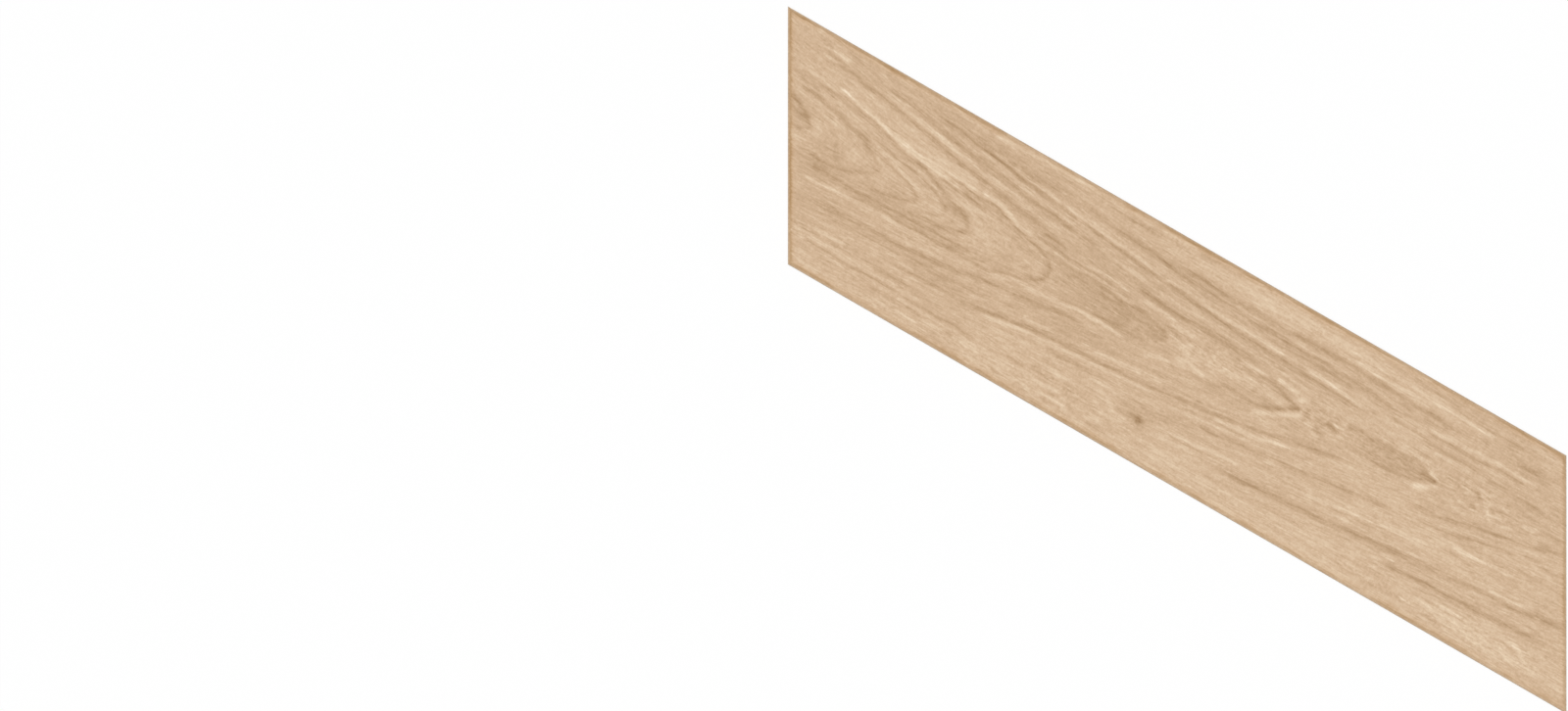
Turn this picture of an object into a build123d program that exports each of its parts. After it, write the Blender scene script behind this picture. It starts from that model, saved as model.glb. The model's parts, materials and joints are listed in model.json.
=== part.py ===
from build123d import *
import math
import os

# Right-hand chevron floor tile in wood-look porcelain, one fired piece, lying face up.
# X runs along the long edges, Y across the board and Z up out of the printed face.
# The origin is the middle of the back, on the plane that the ribs rest on.

# Outline, in millimetres, with the angle in degrees
board_width = 100.0
long_edge = 402.5
end_angle = 60.0
thickness = 9.0

# Arris ground round the printed face
arris = 0.8

# Keyed back: shallow pressed cells between raised ribs, inside a plain border
key_border = 9.0
key_rib = 4.0
key_cell_length = 24.0
key_cell_width = 17.0
key_cell_corner = 2.0
key_depth = 0.7
key_draft = 30.0

end_slope = math.tan(math.radians(end_angle))
end_sine = math.sin(math.radians(end_angle))


def slanted_corners(edge, width):
    """Corners of a parallelogram with level edges and the tile's end angle, centred on the origin."""
    lean = width / end_slope / 2
    half_edge = edge / 2
    half_width = width / 2
    return [
        (lean - half_edge, -half_width),
        (lean + half_edge, -half_width),
        (half_edge - lean, half_width),
        (-half_edge - lean, half_width),
    ]


def copies_that_fit(room, cell, rib):
    """How many cells, with one rib between each two, fit into a length."""
    return int((room + rib) // (cell + rib))


# Rows of cells follow the long edges, and columns follow the slanted ends.
rib_along_edge = key_rib / end_sine
border_along_edge = key_border / end_sine
row_pitch = key_cell_width + key_rib
column_pitch = key_cell_length + rib_along_edge
rows = copies_that_fit(board_width - 2 * key_border, key_cell_width, key_rib)
columns = copies_that_fit(long_edge - 2 * border_along_edge, key_cell_length, rib_along_edge)

cell_centres = []
for row in range(rows):
    across = (row - (rows - 1) / 2) * row_pitch
    for column in range(columns):
        along = (column - (columns - 1) / 2) * column_pitch
        cell_centres.append((along - across / end_slope, across))

with BuildPart() as chevron_tile:
    # Fired slab, cut to the chevron outline
    with BuildSketch():
        Polygon(slanted_corners(long_edge, board_width))
    extrude(amount=thickness)

    # Ground arris round the printed face
    printed_face = chevron_tile.faces().sort_by(Axis.Z)[-1]
    chamfer(printed_face.edges(), length=arris)

    # Pressed cells of the keyed back, with draft so that the die lets go
    with BuildSketch() as key_cells:
        with Locations(cell_centres):
            Polygon(slanted_corners(key_cell_length, key_cell_width))
        fillet(key_cells.vertices(), radius=key_cell_corner)
    extrude(amount=key_depth, taper=key_draft, mode=Mode.SUBTRACT)

chevron_tile.part.label = "chevron_tile"

os.makedirs("parts", exist_ok=True)
export_step(chevron_tile.part, "parts/chevron_tile.step")

print(f"keyed back: {rows} rows of {columns} cells, border {key_border} mm or more")
print(f"volume {chevron_tile.part.volume:.0f} mm3, {len(chevron_tile.part.solids())} solid")
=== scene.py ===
# %% [markdown]
# # A wood-look porcelain chevron tile
#
# The real tile is one slab of pressed clay, fired hard and cut to a parallelogram, so that rows of it
# meet in a chevron. Everything that makes it look like oak is on the face: a printed picture of the
# grain, pressed lightly into the glaze. This lesson builds the slab as one mesh on top of the measured
# part, draws the grain as named veins, and lets noise fill in what nobody would draw: fibres,
# pores and clouds.

# %% Load the measured part
import json
import math

import bmesh
import bpy
import numpy as np
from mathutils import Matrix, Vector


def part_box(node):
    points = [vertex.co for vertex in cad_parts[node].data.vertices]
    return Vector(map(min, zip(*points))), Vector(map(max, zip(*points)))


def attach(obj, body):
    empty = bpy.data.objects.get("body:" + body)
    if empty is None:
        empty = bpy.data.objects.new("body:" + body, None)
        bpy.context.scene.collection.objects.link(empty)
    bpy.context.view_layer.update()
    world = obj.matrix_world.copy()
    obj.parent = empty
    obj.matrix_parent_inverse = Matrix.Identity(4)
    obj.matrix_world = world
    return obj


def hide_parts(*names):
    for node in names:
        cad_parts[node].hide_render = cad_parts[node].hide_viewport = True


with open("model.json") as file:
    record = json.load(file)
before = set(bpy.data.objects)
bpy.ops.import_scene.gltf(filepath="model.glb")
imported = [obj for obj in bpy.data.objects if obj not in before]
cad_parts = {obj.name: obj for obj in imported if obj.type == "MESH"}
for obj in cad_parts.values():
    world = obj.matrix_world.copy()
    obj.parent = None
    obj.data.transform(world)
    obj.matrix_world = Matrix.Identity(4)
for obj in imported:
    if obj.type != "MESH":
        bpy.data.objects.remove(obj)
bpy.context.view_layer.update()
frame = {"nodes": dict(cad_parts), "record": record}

print("nodes:", list(frame["nodes"]))

# %% [markdown]
# ## Sizes
#
# The outline could be typed in again, but then two files could disagree. The board's width and thickness
# are read from the part's box, and the slant of its ends from the direction of the face that meets the
# next tile. The print is laid out in millimetres: `along` runs right from the sharp upper left corner,
# and `across` runs down from the upper edge.

# %% Read the sizes
MM = 0.001
mounts = {mount["name"]: mount for mount in frame["record"]["mounts"]}
low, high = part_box("chevron_tile")
board_width = (high.y - low.y) / MM
thickness = (high.z - low.z) / MM
end_normal = mounts["mitre_end_front"]["axis"]
long_edge = 2 * mounts["mitre_end_front"]["pos_m"][0] / MM
end_sine = end_normal[0]
lean = end_normal[1] / end_normal[0]
corner_x = low.x / MM
corner_y = high.y / MM
print(f"board {board_width:.1f} mm wide, {long_edge:.1f} mm along the edge, {thickness:.1f} mm thick")

# %% [markdown]
# ## The slab's surface as one net of points
#
# A flat face needs four points, but this face is lightly embossed, and the print is steadied by values
# stored on its points. So the face is a fine net, skewed like the tile. The ground arris, the cut edges
# and the rim of the back are rings round that net. Each ring has the same number of points, so they join
# without gaps.

# %% Lay out the net
cells_along = 400
cells_across = 196
face_inset = 1.0


def net_point(inset, i, j):
    """Along and across, in mm, at the shares i and j of the outline drawn in by inset."""
    across = inset + (board_width - 2 * inset) * j
    along = across * lean + inset / end_sine + (long_edge - 2 * inset / end_sine) * i
    return along, across


share_along, share_across = np.meshgrid(
    np.linspace(0, 1, cells_along + 1), np.linspace(0, 1, cells_across + 1), indexing="ij"
)
net_along, net_across = net_point(face_inset, share_along, share_across)
net_index = np.arange(net_along.size).reshape(net_along.shape)
print(f"face net: {net_along.size} points, {board_width / cells_across:.2f} mm apart across the grain")

# %% [markdown]
# The rings follow the section of a real tile edge. The arris is ground at 45 degrees and its two corners
# are a little worn, the cut edge is upright, and the last ring eases the corner that rests on the bed.

# %% Rings round the net
edge_section = [
    # drawn in from the outline, height above the bed, both in mm
    (0.70, 8.90),
    (0.10, 8.30),
    (0.00, 8.05),
    (0.00, 5.40),
    (0.00, 2.80),
    (0.00, 0.25),
    (0.20, 0.00),
]
arris_rings = 3


def round_the_net(grid):
    """Values of a grid at the rim of the net, once round it."""
    return np.concatenate([grid[:-1, 0], grid[-1, :-1], grid[:0:-1, -1], grid[0, :0:-1]])


rim_i = round_the_net(share_along)
rim_j = round_the_net(share_across)
rim_index = round_the_net(net_index)
rim_count = len(rim_index)
ring_along = []
ring_across = []
ring_height = []
for inset, height in edge_section:
    a, c = net_point(inset, rim_i, rim_j)
    ring_along.append(a)
    ring_across.append(c)
    ring_height.append(np.full(rim_count, height))
print(f"{len(edge_section)} rings of {rim_count} points")

# %% [markdown]
# ## The keyed back
#
# The back is pressed with shallow cells, so that adhesive grips it. Their sizes repeat the part's own.
# Each cell is a rounded, slanted outline at rib level and a smaller one on its floor, because the press
# needs draft to let go.

# %% Outlines of the pressed cells
key_rows = 4
key_columns = 13
key_rib = 4.0
key_cell_length = 24.0
key_cell_width = 17.0
key_cell_corner = 2.0
key_depth = 0.7
key_draft = math.radians(30.0)
corner_steps = 5


def rounded_cell(drawn_in):
    """Points round one cell, about its centre, in mm, drawn in from the rib's edge."""
    half_width = key_cell_width / 2 - drawn_in
    half_length = key_cell_length / 2 - drawn_in / end_sine
    radius = max(key_cell_corner - drawn_in, 0.5)
    signs = [(1, -1), (1, 1), (-1, 1), (-1, -1)]
    corners = [np.array((s * half_length + t * half_width * lean, t * half_width)) for s, t in signs]
    points = []
    for k, corner in enumerate(corners):
        before = corners[k - 1] - corner
        after = corners[(k + 1) % 4] - corner
        before /= np.linalg.norm(before)
        after /= np.linalg.norm(after)
        half_angle = math.acos(float(before @ after)) / 2
        middle = before + after
        centre = corner + middle / np.linalg.norm(middle) * radius / math.sin(half_angle)
        start = corner + before * radius / math.tan(half_angle) - centre
        end = corner + after * radius / math.tan(half_angle) - centre
        for step in range(corner_steps):
            turn = step / (corner_steps - 1)
            arm = start * (1 - turn) + end * turn
            points.append(centre + arm / np.linalg.norm(arm) * radius)
    return np.array(points)


cell_rim = rounded_cell(0.0)
cell_floor = rounded_cell(key_depth * math.tan(key_draft))
cell_centres = []
for row in range(key_rows):
    across = board_width / 2 + (row - (key_rows - 1) / 2) * (key_cell_width + key_rib)
    for column in range(key_columns):
        offset = (column - (key_columns - 1) / 2) * (key_cell_length + key_rib / end_sine)
        cell_centres.append((long_edge / 2 + across * lean + offset, across))
print(f"{len(cell_centres)} cells of {len(cell_rim)} points")

# %% [markdown]
# ## Drawing the grain
#
# Flat-sawn oak shows nested arches where the saw met the growth rings, with long veins running into them
# from both sides. Noise alone never gives a believable set of arches, so the main veins are drawn one by
# one, as a maker of such prints would retouch a scan: each has a strength, a width and the few points
# that it passes through. A vein may also shade the wood on its inner side, because a growth ring darkens
# slowly and ends sharply. That side is on the right of the stroke as it is drawn. Veins have a ring
# number, counted outwards from the innermost arch. Short marks and light streaks have none.

# %% Long veins
upper_veins = [
    # ring number, strength in levels, width in mm, shading reach in mm, points (along, across)
    (61, 17, 1.2, 1.2, [(16, 7.6), (33, 10), (47, 12.5), (62, 15), (75, 17), (90, 19.6), (106, 22.8),
        (118, 24.3), (132, 26.3), (143, 27.6), (152, 30.4), (162, 32)]),
    (66, 18, 1.1, 1.2, [(56, 8.8), (66, 9.8), (77, 11.8), (88, 13.8), (100, 15.9), (112, 17), (125, 18.7),
        (138, 20.3), (150, 22.2), (164, 23.2), (178, 24.6)]),
    (76, 17, 0.9, 1.6, [(72, 6.8), (85, 8.6), (95, 9.3), (106, 11.6), (115, 12.4), (125, 13.4),
        (132, 14.8), (145, 16), (157, 17.5), (170, 18.7), (183, 20), (196, 21.6), (210, 22.7),
        (222, 23.8), (236, 25.1), (247, 26), (263, 26.6), (280, 27), (295, 27.8), (308, 28.5),
        (317, 29.6)]),
    (84, 14, 1.2, 0.0, [(146, 10.4), (163, 11.2), (176, 12.5), (190, 13.8), (203, 14.8), (214, 16.1),
        (228, 17), (242, 17.9), (262, 18.2), (275, 18.8), (290, 18.5), (308, 19), (322, 20.3),
        (336, 21.3)]),
    (88, 14, 1.3, 0.0, [(206, 12.8), (220, 13.3), (235, 14), (250, 14.4), (262, 14.8), (278, 13.6),
        (300, 13.2), (316, 13.4), (330, 13.6), (345, 14.2), (362, 15)]),
    (80, 10, 0.8, 0.0, [(228, 20.6), (237, 21.4), (255, 20.6), (270, 21.4), (290, 21), (308, 22)]),
    (61, 13, 1.2, 0.0, [(198, 31), (207, 31.6), (222, 32.2), (236, 32.6), (250, 33), (265, 33.8)]),
    (79, 13, 0.9, 0.0, [(322, 24.2), (333, 24.8), (342, 25), (352, 26.1), (365, 26), (380, 26.7),
        (395, 27), (412, 28)]),
    (82, 13, 0.9, 0.0, [(343, 22.4), (355, 22), (367, 21.9), (380, 20.9), (394, 20.8)]),
    (85, 9, 0.9, 0.0, [(319, 16.5), (335, 17), (352, 17.4)]),
    (94, 8, 0.9, 0.0, [(332, 5), (348, 6), (360, 7.3), (376, 7), (394, 6.6)]),
    (53, 13, 0.8, 0.0, [(146, 33), (156, 34.2), (168, 34.8), (178, 35), (188, 35.2), (200, 37)]),
]
lower_veins = [
    # ring number, strength in levels, width in mm, shading reach in mm, points (along, across)
    (56, 15, 1.2, 0.0, [(46, 69), (63, 68.8), (78, 68), (92, 67.8), (106, 66.5), (118, 65.5), (130, 63.6),
        (145, 61.4), (160, 60), (175, 57.8), (190, 56.2)]),
    (65, 7, 1.0, 0.0, [(50, 73.4), (72, 72.6), (95, 72), (118, 70.6), (140, 68.4), (160, 66.4)]),
    (86, 12, 0.8, 0.0, [(58, 86.2), (68, 86.8), (80, 87.1), (92, 86.6), (108, 86.8)]),
    (74, 15, 1.0, 1.8, [(328, 49.6), (316, 52), (305, 54.2), (295, 55.8), (284, 58.3), (272, 60.5),
        (260, 62.2), (245, 63.8), (232, 66), (212, 67.5), (195, 68.8), (182, 69.8), (168, 71), (152, 73),
        (138, 75), (122, 75.8), (108, 76), (90, 76.8)]),
    (80, 10, 1.0, 0.0, [(346, 60.4), (332, 62.4), (320, 63.8), (302, 65.8), (285, 67.4), (262, 69.6),
        (236, 72.6)]),
    (88, 17, 1.3, 1.8, [(446, 67.6), (436, 68.3), (427, 69.3), (415, 71.4), (403, 72.3), (389, 73.5),
        (375, 74.5), (364, 75.5), (352, 76.8), (340, 77.6), (328, 79), (316, 80.2), (304, 81),
        (292, 81.8), (278, 83), (266, 82.6)]),
    (93, 17, 1.4, 2.4, [(440, 76.6), (430, 78), (416, 79.5), (404, 80.3), (390, 80.8), (378, 81.5),
        (366, 82.4), (352, 83.4)]),
    (77, 13, 1.0, 0.0, [(428, 37.6), (414, 42), (402, 45), (394, 46.2), (383, 48.2), (372, 51),
        (362, 52.6), (345, 55)]),
    (80, 12, 1.0, 0.0, [(408, 49.6), (396, 51.8), (386, 53.6), (378, 55.5), (370, 57), (358, 57.8)]),
]
print(f"{len(upper_veins)} veins above the arches and {len(lower_veins)} below")

# %% Arches, from the upper flank round the tip to the lower one
arches = [
    # ring number, strength in levels, width in mm, shading reach in mm, points (along, across)
    (8, 20, 1.0, 3.0, [(20, 31.6), (25, 34.6), (30, 37), (34, 40.2), (35.4, 42), (33, 44), (29, 45)]),
    (13, 3, 0.9, 2.0, [(30, 33.6), (41, 35.6), (48, 39), (50.5, 43), (47, 47), (38, 48.6)]),
    (18, 15, 1.0, 2.5, [(21, 27.6), (30, 28), (38, 29.2), (46, 30.8), (54, 33.6), (60, 35.4), (66, 38.8),
        (71, 42), (71, 45), (65, 48.3), (60, 50.4), (52, 52), (44, 51.8), (34, 51.2)]),
    (24, 14, 0.8, 1.6, [(50, 30.6), (58, 33), (64, 35.4), (70, 37.6), (77, 39.5), (84, 41.4), (90, 43.6),
        (93, 46), (89, 49), (78, 51.4), (62, 52.8)]),
    (27, 13, 0.8, 1.2, [(55, 31), (62, 32), (70, 33.5), (78, 34.6), (85, 35.4), (94, 37.5), (101, 39.8),
        (106, 43), (106.5, 46.5), (101, 49), (90, 50.8)]),
    (30, 18, 0.9, 2.4, [(42, 21.8), (50, 23.6), (60, 26), (66, 27.5), (70, 28.8), (75, 30.2), (80, 31),
        (88, 32), (94, 34), (101, 36.9)]),
    (30, 12, 1.2, 3.0, [(96, 35), (100, 36.6), (106, 38.4), (111, 39.8), (115.6, 42), (118.8, 45),
        (119, 47.6), (116.6, 49.6), (112, 50.9), (106, 51.8), (98, 52.3), (86, 53), (68, 53)]),
    (35, 16, 0.8, 0.0, [(96, 32.6), (106, 33.4), (116, 33.9), (124, 35.4)]),
    (35, 17, 0.85, 0.0, [(128, 54.6), (118, 54.7), (105, 54.7), (92, 55.5), (80, 55.8), (66, 56.6),
        (54, 56), (42, 56)]),
    (40, 19, 0.8, 2.4, [(90, 29.4), (100, 29.9), (112, 30.6), (119, 31), (124, 30.7), (128, 31.5),
        (133, 33.2), (140, 35.2), (148, 37), (154, 38.8), (158.6, 41.2), (160.6, 44.6), (160, 48),
        (157, 51), (151, 53.2), (145, 54.4), (140, 56.4), (135, 57.8), (126, 57.5), (114, 57.8),
        (103, 58), (92, 58.8), (80, 58.2), (68, 59.2), (58, 58.6)]),
    (46, 6, 0.9, 2.0, [(166, 40), (182, 40.6), (195, 42.4), (203, 46.2), (199, 50), (186, 50.8)]),
    (50, 13, 1.0, 3.0, [(152, 36.2), (160, 37.8), (172, 38.3), (184, 38.1), (192, 39), (198, 39.7),
        (205, 39.1), (212, 40.6), (218, 41.4), (221, 43.4), (220.4, 46)]),
    (50, 6, 0.9, 2.0, [(220, 46.6), (213, 49.6), (205, 51.8), (192, 51.4), (182, 51.8), (168, 52.4)]),
    (57, 12, 1.1, 1.2, [(246, 36.6), (254, 36.8), (260, 37.8), (266, 37.9), (271, 37.5), (276, 38.1),
        (281, 39.8), (285, 41), (288.6, 41.9), (286, 43.2), (282, 45.2), (278, 47.8), (273, 49.4),
        (266, 50), (258, 50), (252, 51.2), (247, 51.8), (242, 50.6)]),
    (68, 13, 0.9, 2.0, [(308, 39.4), (317, 36.6), (323, 37.2), (328, 36.1), (335, 36.4), (342, 35.8),
        (348, 36.6), (352.4, 38.4), (357.6, 40.2), (352, 41.8), (348, 43.6), (340, 44.9), (328, 45.4),
        (316, 45), (308, 43.6)]),
]
print(f"{len(arches)} strokes in the arches")

# %% Short dark marks
short_marks = [
    # strength in levels, width in mm, points (along, across)
    (14, 0.8, [(19, 21), (27, 21.8), (36, 23), (47, 23.6)]),
    (8, 0.8, [(33, 4.5), (38, 5), (44, 5.9)]),
    (9, 0.9, [(23, 27.6), (30, 28.2), (38, 29.2), (47, 30.6)]),
    (11, 0.8, [(20, 24.4), (26, 25), (32, 25.6)]),
    (7, 0.8, [(150, 30.6), (157, 31), (163, 32)]),
    (7, 0.7, [(259, 29.8), (266, 30), (275, 30.8)]),
    (8, 1.2, [(386, 14.6), (394, 14), (404, 15.6)]),
    (8, 0.9, [(170, 5.4), (181, 5.6), (193, 5.4), (205, 4.8), (216, 4), (228, 3)]),
    (9, 1.0, [(126, 10.8), (136, 11.4), (147, 10.9)]),
    (8, 0.8, [(344, 32), (349, 31.8), (354, 31.8)]),
    (7, 1.0, [(411, 40.6), (417, 40), (424, 39.7)]),
    (9, 0.9, [(409, 35.8), (415, 35.2), (421, 35.6)]),
    (11, 0.7, [(59, 81.6), (66, 82), (74, 81.5)]),
    (10, 0.8, [(322, 73.6), (330, 72.6), (346, 71)]),
    (12, 0.8, [(184, 95), (189, 95), (196, 95.2)]),
    (6, 0.8, [(404, 55), (416, 54.6), (428, 54.4)]),
    (10, 1.1, [(175, 75.4), (186, 75), (196, 74.6), (205, 74.2), (214, 73.6)]),
    (9, 0.7, [(244, 81.8), (252, 81), (262, 80)]),
    (11, 0.8, [(92, 82.1), (102, 82), (113, 81.4)]),
    (11, 0.8, [(122, 86.6), (135, 86.5), (148, 87.2)]),
    (7, 0.8, [(110, 87.2), (117, 86.8), (126, 86.2)]),
    (11, 0.8, [(94, 90.4), (102, 90.3), (111, 90.2), (123, 90.2)]),
    (10, 0.8, [(124, 90), (131, 90.3), (138, 90.6)]),
    (12, 0.8, [(162, 86.2), (167, 86.5), (172, 86.7)]),
    (8, 0.8, [(126, 95.8), (132, 96), (139, 96)]),
    (9, 0.8, [(159, 95), (163, 95.2), (168, 95.2)]),
    (12, 0.7, [(181, 91), (186, 91.3), (191, 91)]),
    (8, 0.8, [(206, 94.2), (211, 94.6), (216, 94.4)]),
    (8, 0.8, [(326, 60.8), (336, 60.2), (350, 60.4)]),
    (8, 0.8, [(374, 64.2), (382, 64), (392, 64.6)]),
    (9, 0.8, [(374, 87), (379, 87.4), (385, 87.8)]),
    (8, 0.8, [(414, 87.2), (420, 87), (427, 87.3)]),
    (8, 0.8, [(381, 94), (387, 93.8), (394, 94.2)]),
    (8, 0.8, [(253, 70.4), (258, 70.7), (264, 70.8)]),
    (7, 0.9, [(218, 75), (226, 75.6), (233, 76.2)]),
    (7, 0.8, [(394, 57), (398, 57.6), (403, 58.6)]),
    (9, 0.9, [(217, 39), (224, 39.3), (232, 39.9)]),
    (8, 1.0, [(265, 45.4), (272, 45), (278, 44.8)]),
    (20, 0.9, [(349, 39.8), (353, 40), (358, 40.3)]),
    (26, 1.0, [(301.5, 41.2), (305, 41.9), (309, 42.8)]),
    (10, 1.1, [(295.5, 42), (299, 41.6), (302, 41.4)]),
    (12, 1.0, [(305, 37.6), (306.6, 38), (308.4, 38.3)]),
    (12, 1.0, [(310.8, 37), (312, 37.6), (313.4, 38.4)]),
    (12, 1.0, [(297, 44.2), (298.8, 44.8), (300, 46.6)]),
    (9, 1.0, [(274, 49.4), (279, 47), (282, 45.3), (285.4, 43.4), (289.5, 41.2)]),
    (9, 1.2, [(384.6, 37.6), (387.6, 37), (391.4, 36.6)]),
    (16, 1.3, [(291.8, 39.4), (292.6, 42.4), (292.8, 45.4)]),
    (13, 1.0, [(292.5, 38.6), (297, 38), (300.5, 36.8)]),
    (10, 1.0, [(299, 45.8), (301, 46.6), (304, 46.8)]),
    (12, 1.3, [(375.4, 33.4), (376.8, 34.8), (378.2, 36.4)]),
    (11, 1.4, [(376.2, 38.2), (377.2, 40.2), (378.2, 42.2)]),
    (7, 0.8, [(364, 35.6), (369, 35), (374, 35.2)]),
    (9, 0.8, [(388, 32.4), (394, 31.8), (400, 31.6)]),
    (6, 0.8, [(231, 37.2), (238, 37.4), (245, 38)]),
    (6, 0.8, [(233, 40.8), (237, 40.4), (241, 39.7)]),
]
print(f"{len(short_marks)} short marks")

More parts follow.
